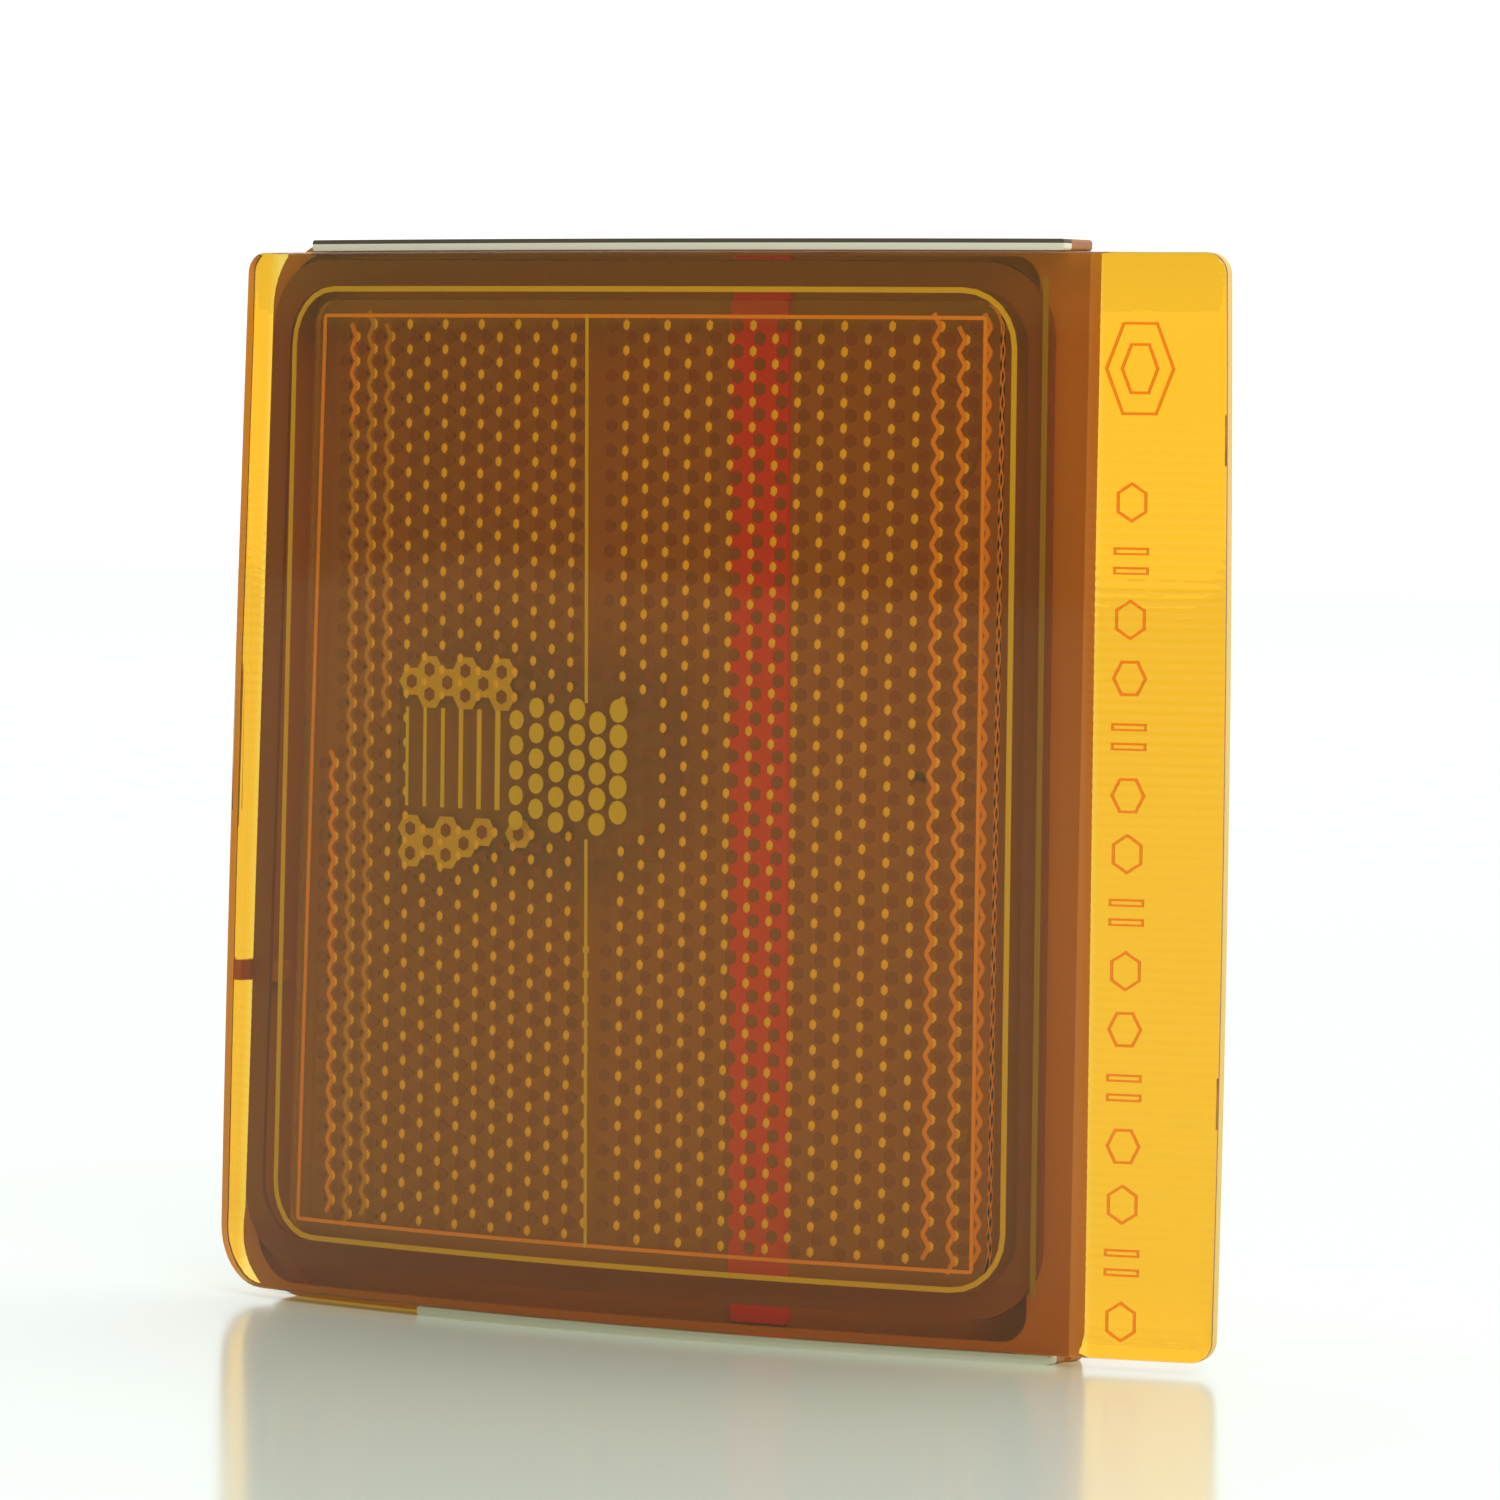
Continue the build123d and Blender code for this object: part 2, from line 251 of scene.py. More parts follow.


# Tinted clear plastic that lets light through to what is behind it, finely lined where nothing backs it.
# Where the housing backs it, it takes a lighter tint, which is painted light.
def clearPlastic(name, tint, roughness=0.03, paintedLightTint=None):
    mat, nodes, links, shader = newMaterial(name)
    shader.inputs["Transmission Weight"].default_value = 1
    shader.inputs["IOR"].default_value = clearResin["ior"]
    shader.inputs["Specular IOR Level"].default_value = clearResin["specular"]
    shader.inputs["Roughness"].default_value = roughness
    shader.inputs["Base Color"].default_value = (*tint, 1)
    clear = nodes.new("ShaderNodeBsdfTransparent")
    clear.inputs["Color"].default_value = (*[math.sqrt(c) for c in tint], 1)
    path = nodes.new("ShaderNodeLightPath")
    either = nodes.new("ShaderNodeMath")
    either.operation = "MAXIMUM"
    mix = nodes.new("ShaderNodeMixShader")
    links.new(path.outputs["Is Shadow Ray"], either.inputs[0])
    links.new(path.outputs["Is Diffuse Ray"], either.inputs[1])
    links.new(either.outputs[0], mix.inputs["Fac"])
    links.new(shader.outputs["BSDF"], mix.inputs[1])
    links.new(clear.outputs["BSDF"], mix.inputs[2])
    links.new(mix.outputs["Shader"], nodes["Material Output"].inputs["Surface"])
    if paintedLightTint:
        backed = groupNode(nodes, backedGroup)
        lines = nodes.new("ShaderNodeTexWave")
        lines.bands_direction = "Z"
        lines.inputs["Scale"].default_value = clearResin["lineScale"]
        lines.inputs["Distortion"].default_value = clearResin["lineWaver"]
        coords = nodes.new("ShaderNodeTexCoord")
        links.new(coords.outputs["Object"], lines.inputs["Vector"])
        free = nodes.new("ShaderNodeMath")  # only on the free flanges
        free.operation = "SUBTRACT"
        free.inputs[0].default_value = 1
        links.new(backed.outputs["Mask"], free.inputs[1])
        height = nodes.new("ShaderNodeMath")
        height.operation = "MULTIPLY"
        links.new(free.outputs[0], height.inputs[0])
        links.new(lines.outputs["Fac"], height.inputs[1])
        bumpNode = nodes.new("ShaderNodeBump")
        bumpNode.inputs["Strength"].default_value = clearResin["lineBump"]
        bumpNode.inputs["Distance"].default_value = clearResin["lineDepth"] * mm
        links.new(height.outputs[0], bumpNode.inputs["Height"])
        links.new(bumpNode.outputs["Normal"], shader.inputs["Normal"])
        # over the housing the lens takes the lighter tint: painted light on what is seen through it
        for target, power in ((shader.inputs["Base Color"], 1), (clear.inputs["Color"], 0.5)):
            shade = nodes.new("ShaderNodeMix")
            shade.data_type = "RGBA"
            shade.inputs["A"].default_value = (*[c ** power for c in tint], 1)
            shade.inputs["B"].default_value = (*[c ** power for c in paintedLightTint], 1)
            links.new(backed.outputs["Mask"], shade.inputs["Factor"])
            links.new(shade.outputs["Result"], target)
    return mat


def plainMetal(name, light, dark):
    mat = mouldedPlastic(name, light, dark, 900, 0.05)
    mat.node_tree.nodes["Principled BSDF"].inputs["Metallic"].default_value = 1
    return mat


# the last tint of the lens, used over the housing, is painted light
amberLens = clearPlastic("amberLens", (0.965, 0.50, 0.02), 0.03, (0.97, 0.66, 0.12))
amberReflex = clearPlastic("amberReflex", (0.99, 0.90, 0.6), 0.0)
# bright beads between the pins: painted highlights
amberGlint = mouldedPlastic("amberGlint", (0.95, 0.86, 0.40), (0.86, 0.78, 0.32), 4000, 0.05)
# dark finish of the pin tips: painted shade for the dark cell of each pin
paintedCellShade = mouldedPlastic("paintedCellShade", (0.25, 0.060, 0.060), (0.19, 0.045, 0.048), 4000, 0.05)
seamOlive = mouldedPlastic("seamOlive", (0.34, 0.27, 0.06), (0.27, 0.22, 0.05), 3000, 0.05)
# pin edges and the field border are real edges, and their bright orange is painted highlight
edgeHighlight = mouldedPlastic("edgeHighlight", (0.90, 0.42, 0.14), (0.75, 0.34, 0.10), 3000, 0.05)
ridgeDimHighlight = mouldedPlastic("ridgeDimHighlight", (0.62, 0.40, 0.12), (0.52, 0.33, 0.10), 3000, 0.05)
# weld flash and parting line are real thin lines; their gold brightness is a painted highlight
flashHighlight = mouldedPlastic("flashHighlight", (0.74, 0.70, 0.26), (0.62, 0.58, 0.20), 3000, 0.05)
markAmber = clearPlastic("markAmber", (0.93, 0.40, 0.02), 0.12)
# window flutes, pillows and patches: painted light from behind the window
windowGlow = mouldedPlastic("windowGlow", (0.72, 0.70, 0.14), (0.60, 0.60, 0.11), 4000, 0.05)
# dark sheet behind the window: painted shade
paintedWindowShade = mouldedPlastic("paintedWindowShade", (0.30, 0.13, 0.07), (0.24, 0.10, 0.06), 2500, 0.05)
bulbClear = clearPlastic("bulbClear", (0.97, 0.97, 0.96), 0.0)
lensRim = mouldedPlastic("lensRim", (0.96, 0.60, 0.13), (0.90, 0.54, 0.11), 3000, 0.05)
housingBrown = mouldedPlastic("housingBrown", (0.48, 0.205, 0.082), (0.41, 0.170, 0.066))


lips = {
    "reach": 2.6,  # how far behind the lens front the bands go
    "bands": [  # lower edge, upper edge, colour; the pale top band is a painted highlight where the top face catches light, the dark band above it painted shade along the back edge, the low band a paler strip
        (103.1, 103.8, (0.86, 0.86, 0.82)),
        (103.8, 104.3, (0.10, 0.07, 0.045)),
        (-0.1, 0.9, (0.80, 0.80, 0.76)),
    ],
}


# Paler or darker band over a material between two heights, only at the lip beside the lens
def lipBand(mat, low, high, color):
    nodes, links = mat.node_tree.nodes, mat.node_tree.links
    shader = nodes["Principled BSDF"]
    below = shader.inputs["Base Color"].links[0].from_socket
    coords = nodes.new("ShaderNodeTexCoord")
    split = nodes.new("ShaderNodeSeparateXYZ")
    links.new(coords.outputs["Object"], split.inputs["Vector"])
    band = nodes.new("ShaderNodeMath")
    band.operation = "COMPARE"
    band.inputs[1].default_value = (low + high) / 2 * mm
    band.inputs[2].default_value = (high - low) / 2 * mm
    links.new(split.outputs["Z"], band.inputs[0])
    plan = nodes.new("ShaderNodeVectorMath")  # distance from the upright axis of the lens curve
    plan.operation = "MULTIPLY"
    plan.inputs[1].default_value = (1, 1, 0)
    links.new(coords.outputs["Object"], plan.inputs[0])
    reach = nodes.new("ShaderNodeVectorMath")
    reach.operation = "DISTANCE"
    reach.inputs[1].default_value = (0, frontY + lamp["radius"], 0)
    links.new(plan.outputs["Vector"], reach.inputs[0])
    near = nodes.new("ShaderNodeMath")
    near.operation = "GREATER_THAN"
    near.inputs[1].default_value = lamp["radius"] - lips["reach"] * mm
    links.new(reach.outputs["Value"], near.inputs[0])
    both = nodes.new("ShaderNodeMath")
    both.operation = "MULTIPLY"
    links.new(band.outputs[0], both.inputs[0])
    links.new(near.outputs[0], both.inputs[1])
    mix = nodes.new("ShaderNodeMix")
    mix.data_type = "RGBA"
    mix.inputs["B"].default_value = (*color, 1)
    links.new(below, mix.inputs["A"])
    links.new(both.outputs[0], mix.inputs["Factor"])
    links.new(mix.outputs["Result"], shader.inputs["Base Color"])


# bands on the housing lip: a painted highlight and painted shade at the top, a paler strip at the bottom
for low, high, color in lips["bands"]:
    lipBand(housingBrown, low, high, color)
holderGrey = mouldedPlastic("holderGrey", (0.50, 0.48, 0.44), (0.42, 0.40, 0.36))
blackRubber = mouldedPlastic("blackRubber", (0.03, 0.03, 0.03), (0.018, 0.018, 0.018))
sealDark = mouldedPlastic("sealDark", (0.24, 0.075, 0.11), (0.19, 0.06, 0.085))
redFilm = mouldedPlastic("redFilm", (0.96, 0.002, 0.001), (0.86, 0.001, 0.001))
whiteFilm = mouldedPlastic("whiteFilm", (0.85, 0.85, 0.83), (0.75, 0.75, 0.73))
brightSheet = plainMetal("brightSheet", (0.85, 0.85, 0.83), (0.75, 0.75, 0.73))
zincSteel = plainMetal("zincSteel", (0.72, 0.70, 0.62), (0.60, 0.58, 0.50))
wireSteel = plainMetal("wireSteel", (0.62, 0.61, 0.58), (0.50, 0.49, 0.47))
tungsten = plainMetal("tungsten", (0.30, 0.29, 0.28), (0.22, 0.21, 0.20))
contactBrass = plainMetal("contactBrass", (0.78, 0.60, 0.32), (0.65, 0.48, 0.24))

cadFinishes = {
    "housing": housingBrown, "socket_body": holderGrey, "socket_gasket": blackRubber, "vent_cap": blackRubber,
    "lens_seal": sealDark, "red_strip": redFilm, "vent_membrane": whiteFilm, "bulb_reflector": brightSheet,
    "stud_lower": zincSteel, "stud_upper": zincSteel, "bulb_supports": wireSteel, "bulb_leads": wireSteel,
    "bulb_filament": tungsten, "contact_front": contactBrass, "contact_rear": contactBrass,
    "bulb_glass": bulbClear, "bulb_bead": bulbClear,
}
for node, material in cadFinishes.items():
    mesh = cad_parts[node].data
    mesh.materials.clear()
    mesh.materials.append(material)
print("materials ready")


# Lens

lens = {
    "corners": [(-53.85, 102.0), (56.2, 102.0), (56.2, 0.0), (-56.75, 0.0)],
    "radii": [2.0, 2.0, 2.0, 6.0],
    "thickness": 2.4,
    "leftBow": 0.4,
    "rightBow": 0.45,
    "bowReach": 56,  # arc length at which the whole bow is reached
    "bowPower": 8,
    "edge": 0.35,
    "sliceHeight": 8,
}


# The left and right ends of the lens are slightly bowed outwards
def bowEnds(bm, settings):
    height = settings["corners"][0][1]
    for v in bm.verts:
        t = (v.co.z - baseZ) / (height * mm) * 2 - 1
        share = (abs(v.co.x) / (settings["bowReach"] * mm)) ** settings["bowPower"]
        bow = settings["rightBow"] if v.co.x > 0 else -settings["leftBow"]
        v.co.x += bow * mm * (1 - t * t) * share


def makeLens():
    bm = bmesh.new()
    outlineFace(bm, lens["corners"], lens["radii"])
    slices(bm, lamp["sliceStep"])
    slices(bm, lens["sliceHeight"] * mm, 2)
    bowEnds(bm, lens)
    thicken(bm, 0, lens["thickness"])
    bmesh.ops.recalc_face_normals(bm, faces=bm.faces)
    rims = [e for e in bm.edges if e.calc_face_angle(0) > math.radians(60)]
    bmesh.ops.bevel(bm, geom=rims, offset=lens["edge"] * mm, segments=3, profile=0.5,
                    affect="EDGES", material=-1)
    bm.normal_update()
    for face in bm.faces:  # the rim has its own finish
        face.material_index = 1 if abs(face.normal.y) < 0.2 else 0
    bend(bm)
    piece = finishMesh(bm, "lensPlate", amberLens)
    piece.data.materials.append(lensRim)
    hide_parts("lens")
    return piece


# Reflex plate and its hexagonal pins

reflex = {
    "front": 2.65,
    "back": 3.9,
    "left": (-44.2, -46.9),  # at the top and at the bottom
    "right": (32.5, 32.3),
    "low": 7.0,
    "high": 96.0,
    "margin": 1.0,
    "plateRim": 1.3,
    "corner": 2.5,
    "parting": (-10.7, -9.7),
    "leftAxis": 18.98,
    "rightAxis": -30.1,
    "tipRadius": 0.72,
    "tipDepth": 0.9,
    "glint": (0.42, 0.12, 0.54),
    "lineWidth": 0.42,
    "patchLift": 0.1,
    "patchGrow": 1.1,
    "patchWide": 1.12,
    "ridgeLift": 0.06,
    "ridgeGrow": 1.02,
    "ridgesFrom": 24.6,  # ridges stand out, in painted highlight, only near the ends
    "leftRidges": 8.0,  # reach of the dimmer painted-highlight ones from the left end
    "leftEdge": 2.4,  # reach of the brighter painted-highlight ones there
    "gap": 0.04,
}


window = {
    "left": -34.0,
    "right": -4.9,
    "low": 47.0,
    "high": 58.0,
    "flutes": 6,
    "fluteStart": -32.4,
    "flutePitch": 2.3,
    "fluteWidth": 0.42,
    "fluteThin": 0.7,  # width of the first flute, and how much each next one gains, as shares
    "fluteGain": 0.12,
    "fluteFoot": 1.4,
    # extents of the dark sheet behind the window, which is painted shade
    "shade": (-35.2, -2.6, 44.0, 61.0),
    "topPatch": (13, 4.2),  # length and height of the patches of painted light beside the window
    "lowPatch": (15.5, 5.4),
    "lowPatchSlant": 0.3,
    "pillows": 6,
    "pillowStart": -18.6,
    "pillowPitch": 2.42,
    "pillowRows": 5,
    "pillowRadius": 0.84,
    "pillowGain": 0.035,
    "pillowSides": 12,
    "pillowTall": 1.12,
}


# Corners of the pin field from the top left, moved out by a rim
def fieldCorners(rim=0):
    left, right = reflex["left"], reflex["right"]
    low, high = reflex["low"] - rim, reflex["high"] + rim
    return [(left[0] - rim, high), (right[0] + rim, high), (right[1] + rim, low), (left[1] - rim, low)]


# Arc position part way between a pair of values given at the top and at the bottom
def atHeight(pair, v):
    share = (v - reflex["low"]) / (reflex["high"] - reflex["low"])
    return pair[1] + share * (pair[0] - pair[1])


# Arc positions of the pin columns of one half: evenly spaced across the pin axis
def columnPlaces(axisAngle, left, right):
    turn = math.radians(axisAngle)
    pitch = lamp["pinPitch"] / mm * math.sqrt(3) / 2
    places = [left]
    while places[-1] < right:
        lean = turn - places[-1] * mm / lamp["radius"]
        places.append(places[-1] + pitch / math.cos(lean))
    return places


# Centre of every pin of one half: arc position, height, and distance to the next column
def pinCentres(axisAngle, left, right):
    places = columnPlaces(axisAngle, min(left), max(right))
    pitch = lamp["pinPitch"] / mm
    centres = []
    for i, s in enumerate(places[:-1]):
        v = reflex["low"] + reflex["margin"] + (pitch / 2 if i % 2 else 0)
        while v < reflex["high"] - reflex["margin"]:
            if atHeight(left, v) + reflex["margin"] < s < atHeight(right, v) - reflex["margin"]:
                centres.append((s, v, places[i + 1] - s))
            v += pitch
    return centres


def inWindow(s, v):
    across = window["left"] - 0.6 < s < window["right"] + 0.8
    return across and window["low"] - 0.8 < v < window["high"] + 0.8


# Pins on the patches of painted light above and below the window, which have slanting edges
def onPatch(s, v):
    along = s - window["left"]
    topLength, topHeight = window["topPatch"]
    lowLength, lowHeight = window["lowPatch"]
    above = window["high"] < v < window["high"] + topHeight and 0 < along < topLength
    edge = window["low"] - lowHeight + window["lowPatchSlant"] * along
    return above or (edge < v < window["low"] + 1 and 0 < along < lowLength)


# Repeats a small closed shape at many arc positions and heights behind the lens
def scatter(bm, shape, places, depth):
    for s, v in places:
        move = Matrix.Translation((s * mm, depth * mm, baseZ + v * mm))
        shape.transform(move)
        bm.from_mesh(shape)
        shape.transform(move.inverted())


def smallShape(bm):
    bmesh.ops.recalc_face_normals(bm, faces=bm.faces)
    shape = bpy.data.meshes.new("small")
    bm.to_mesh(shape)
    bm.free()
    return shape


def bentRepeat(name, material, shape, places, depth):
    bm = bmesh.new()
    scatter(bm, shape, places, depth)
    bend(bm)
    bpy.data.meshes.remove(shape)
    piece = finishMesh(bm, name, material, recalc=False)
    return piece


# Cone at each pin's tip; it is dark to paint the shade of the pin's dark cell
def makePinShape():
    bm = bmesh.new()
    radius, depth = reflex["tipRadius"] * mm, reflex["tipDepth"] * mm
    bmesh.ops.create_cone(bm, cap_ends=True, segments=6, radius1=radius, radius2=radius * 0.1, depth=depth)
    bmesh.ops.translate(bm, verts=bm.verts, vec=(0, 0, depth / 2))
    bmesh.ops.rotate(bm, verts=bm.verts, cent=(0, 0, 0), matrix=Matrix.Rotation(math.radians(-90), 3, "X"))
    return smallShape(bm)


def makeGlintShape():
    bm = bmesh.new()
    bmesh.ops.create_icosphere(bm, subdivisions=1, radius=mm)
    bmesh.ops.scale(bm, verts=bm.verts, vec=reflex["glint"])
    return smallShape(bm)


# Flat hexagon that just fills one pin's place
def makePatchShape():
    bm = bmesh.new()
    radius = lamp["pinPitch"] / math.sqrt(3) * reflex["patchGrow"]
    bmesh.ops.create_cone(bm, cap_ends=True, segments=6, radius1=radius, radius2=radius, depth=0.05 * mm)
    bmesh.ops.rotate(bm, verts=bm.verts, cent=(0, 0, 0), matrix=Matrix.Rotation(math.radians(30), 3, "Z"))
    bmesh.ops.rotate(bm, verts=bm.verts, cent=(0, 0, 0), matrix=Matrix.Rotation(math.radians(-90), 3, "X"))
    bmesh.ops.scale(bm, verts=bm.verts, vec=(reflex["patchWide"], 1, 1))
    return smallShape(bm)


# Ridge along one slanting side of a pin, leaning up or down
def makeRidgeShape(lean):
    bm = bmesh.new()
    rim = lamp["pinPitch"] / math.sqrt(3)
    width = reflex["lineWidth"] * mm
    bmesh.ops.create_cube(bm, size=1)
    bmesh.ops.scale(bm, verts=bm.verts, vec=(width, width / 2, rim * reflex["ridgeGrow"]))
    spin = Matrix.Rotation(math.radians(30 * lean), 3, "Y")
    bmesh.ops.rotate(bm, verts=bm.verts, cent=(0, 0, 0), matrix=spin)
    return smallShape(bm)


def makeReflex():
    halves = (
        ("Left", reflex["leftAxis"], reflex["left"], reflex["parting"]),
        ("Right", reflex["rightAxis"], reflex["parting"], reflex["right"]),
    )
    bm = bmesh.new()
    outlineFace(bm, fieldCorners(reflex["plateRim"]), [reflex["corner"]] * 4, 6)
    slices(bm, lamp["sliceStep"])
    thicken(bm, reflex["front"], reflex["back"])
    bend(bm)
    plate = finishMesh(bm, "reflexPlate", amberReflex)
    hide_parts("reflex_plate")
    depth = reflex["back"] + reflex["gap"]
    ridgeDepth = depth + reflex["ridgeLift"]
    rise = lamp["pinPitch"] / mm / 4
    for name, axis, left, right in halves:
        centres = [c for c in pinCentres(axis, left, right) if not inWindow(c[0], c[1])]
        tips = [(s, v) for s, v, step in centres]
        # pin tips in painted shade
        bentRepeat("pinTips" + name, paintedCellShade, makePinShape(), tips, depth)
        # glint beads at the pin corners are painted highlights
        glints = [(s + step * 2 / 3, v) for s, v, step in centres if s + step < atHeight(right, v)]
        bentRepeat("pinGlints" + name, amberGlint, makeGlintShape(), glints, depth + reflex["glint"][1])
        if name == "Left":
            patch = [(s, v) for s, v, step in centres if onPatch(s, v)]
            # patches of painted light beside the window
            bentRepeat("windowPatches", windowGlow, makePatchShape(), patch, depth + reflex["patchLift"])
            near = [c for c in centres if c[0] < atHeight(left, c[1]) + reflex["leftRidges"]]
            edge = [c for c in near if c[0] < atHeight(left, c[1]) + reflex["leftEdge"]]
            sets = (("pinRidgesLeft", ridgeDimHighlight, [c for c in near if c not in edge]),
                    ("pinRidgesEdge", edgeHighlight, edge))
        else:
            sets = (("pinRidges", edgeHighlight, [c for c in centres if c[0] > reflex["ridgesFrom"]]),)
        # ridges along the pin edges, coloured as painted highlight
        for label, material, pins in sets:
            for side, lean in (("Up", 1), ("Down", -1)):
                ridges = [(s + step / 2, v + lean * rise) for s, v, step in pins]
                bentRepeat(label + side, material, makeRidgeShape(-lean), ridges, ridgeDepth)


makeLens()
print("lens made")
makeReflex()
print("reflex plate made")


# Thin moulded detail that lies between the lens and the reflex plate

# Leaves only a narrow frame of a flat shape
def hollowOut(bm, width):
    rim = bmesh.ops.inset_region(bm, faces=bm.faces[:], thickness=width * mm,
                                 use_boundary=True, use_even_offset=True)["faces"]
    bmesh.ops.delete(bm, geom=[f for f in bm.faces if f not in rim], context="FACES")


# Flat shape with equal sides in X and Z, centred at an arc length and a height
def flatSpot(bm, s, v, radius, sides, turn=0, tall=1):
    made = bmesh.ops.create_circle(bm, cap_ends=True, segments=sides, radius=radius * mm)["verts"]
    bmesh.ops.rotate(bm, verts=made, cent=(0, 0, 0), matrix=Matrix.Rotation(math.radians(turn), 3, "Z"))
    bmesh.ops.rotate(bm, verts=made, cent=(0, 0, 0), matrix=Matrix.Rotation(math.radians(90), 3, "X"))
    bmesh.ops.scale(bm, verts=made, vec=(1, 1, tall))
    bmesh.ops.translate(bm, verts=made, vec=(s * mm, 0, baseZ + v * mm))


def flatBar(bm, left, right, low, high):
    corners = [(left, high), (right, high), (right, low), (left, low)]
    bm.faces.new([bm.verts.new((x * mm, 0, baseZ + z * mm)) for x, z in corners])


# Every spot or bar of a sheet of them, bent and given its thickness without cutting it up
def bentSpots(bm, name, material, front, back):
    thicken(bm, front, back)
    bend(bm)
    finishMesh(bm, name, material)


# A wider flat shape, cut into strips so that it bends
def bentSlab(bm, name, material, front, back):
    slices(bm, lamp["sliceStep"])
    bentSpots(bm, name, material, front, back)


ring = {
    "flashLeft": (-48.5, -50.3),
    "flashRight": 35.5,
    "flashTop": 98.6,
    "flashLow": 5.2,
    "flashWidth": 0.5,
    "corner": 5.5,
    "borderWidth": 0.35,
    "borderCorner": 0.4,
    "front": 2.45,
    "back": 2.58,
    "partingWidth": 0.3,
    "seam": 38.3,
    "seamWidth": 0.5,
}


def makeRingLines():
    low, high = ring["flashLow"], ring["flashTop"]
    # weld flash ring inside the rib, its brightness a painted highlight
    bm = bmesh.new()
    outlineFace(bm, [(ring["flashLeft"][0], high), (ring["flashRight"], high),
                     (ring["flashRight"], low), (ring["flashLeft"][1], low)], [ring["corner"]] * 4, 6)
    hollowOut(bm, ring["flashWidth"])
    bentSlab(bm, "weldFlash", flashHighlight, ring["front"], ring["back"])
    # border line of the pin field: a real edge, drawn bright as a painted highlight
    bm = bmesh.new()
    outlineFace(bm, fieldCorners(), [ring["borderCorner"]] * 4, 3)
    hollowOut(bm, ring["borderWidth"])
    bentSlab(bm, "fieldBorder", edgeHighlight, ring["front"], ring["back"])


# Thin line where the two halves of the pin field meet, broken by the window; its pale gold is a painted
# highlight
def makePartingLine():
    bm = bmesh.new()
    half = ring["partingWidth"] / 2
    for low, high in ((reflex["low"], window["low"] - 1), (window["high"] + 1, reflex["high"])):
        foot, head = atHeight(reflex["parting"], low), atHeight(reflex["parting"], high)
        points = [(head - half, high), (head + half, high), (foot + half, low), (foot - half, low)]
        bm.faces.new([bm.verts.new((x * mm, 0, baseZ + z * mm)) for x, z in points])
    bentSpots(bm, "partingLine", flashHighlight, ring["front"], ring["back"])


# Window in front of the bulb: upright flutes, then pillows, and a dark sheet of painted shade behind them;
# the smooth patches above and below are made with the pins
def makeWindow():
    # the flutes and pillows are flat shapes in painted light
    bm = bmesh.new()
    for i in range(window["flutes"]):
        middle = window["fluteStart"] + i * window["flutePitch"]
        half = window["fluteWidth"] * (window["fluteThin"] + window["fluteGain"] * i) / 2
        flatBar(bm, middle - half, middle + half, window["low"] + window["fluteFoot"], window["high"])
    bentSpots(bm, "windowFlutes", windowGlow, ring["front"], ring["back"])
    bm = bmesh.new()
    for i in range(window["pillows"]):
        middle = window["pillowStart"] + i * window["pillowPitch"]
        for j in range(window["pillowRows"]):
            height = window["low"] + window["pillowPitch"] * (j + 0.5 * (i % 2) + 0.2)
            size = window["pillowRadius"] + window["pillowGain"] * i
            flatSpot(bm, middle, height, size, window["pillowSides"], 0, window["pillowTall"])
    bentSpots(bm, "windowPillows", windowGlow, ring["front"], ring["back"])
    # Dark sheet behind the reflex plate over the window: painted shade that hides the lit bulb chamber
    bm = bmesh.new()
    left, right, low, high = window["shade"]
    flatBar(bm, left, right, low, high)
    behind = reflex["back"] + reflex["tipDepth"] + 0.1
    bentSlab(bm, "paintedWindowShade", paintedWindowShade, behind, behind + 0.1)


# Raised mould marks down the right flange: plain hexagons and double bars
marks = {
    "middle": 47.0,
    "top": 79.0,
    "pitch": 5.4,
    "count": 15,
    "radius": 1.7,
    "stroke": 0.3,
    "bigMiddle": (47.6, 91.3),
    "bigRadius": 3.4,
    "bigInner": 0.55,  # share of the radius
    "bigTall": 1.45,
    "tall": 1.1,
    "barOffset": 0.9,
    "barHalf": 0.35,
    "front": 2.42,
    "back": 2.6,
}


def makeMarks():
    bm = bmesh.new()
    s, v = marks["bigMiddle"]
    for radius in (marks["bigRadius"], marks["bigRadius"] * marks["bigInner"]):
        flatSpot(bm, s, v, radius, 6, 30, marks["bigTall"])
    for i in range(marks["count"]):
        v = marks["top"] - i * marks["pitch"]
        if i % 3 != 1:
            flatSpot(bm, marks["middle"], v, marks["radius"], 6, 30 * (i % 2), marks["tall"])
        else:
            for side in (-1, 1):
                middle = v + side * marks["barOffset"]
                flatBar(bm, marks["middle"] - marks["radius"], marks["middle"] + marks["radius"],
                        middle - marks["barHalf"], middle + marks["barHalf"])
    faces = bm.faces[:]
    rim = bmesh.ops.inset_individual(bm, faces=faces, thickness=marks["stroke"] * mm)["faces"]
    bmesh.ops.delete(bm, geom=[f for f in faces if f not in rim], context="FACES")
    bentSpots(bm, "mouldMarks", markAmber, marks["front"], marks["back"])


# Pale seam where the wall of the housing ends, on the right
def makeSeam():
    bm = bmesh.new()
    middle, half = ring["seam"], ring["seamWidth"] / 2
    flatBar(bm, middle - half, middle + half, ring["flashLow"], ring["flashTop"] + 1)
    bentSpots(bm, "housingSeam", seamOlive, ring["front"], ring["back"])


makeRingLines()
makeSeam()
makePartingLine()
makeWindow()
makeMarks()
print("moulded detail made")


# Studs, bulb and holder

stud = {
    "radius": 2.5,
    "rootRadius": 2.05,
    "pitch": 0.8,
    "plain": 1.2,  # unthreaded length above the boss
    "headRadius": 3.4,
    "headLength": 5.5,
    "tip": 0.7,  # length without thread at the free end
    "tipInset": 0.2,
}
filament = {"turns": 14, "wire": 0.055, "radius": 0.24}


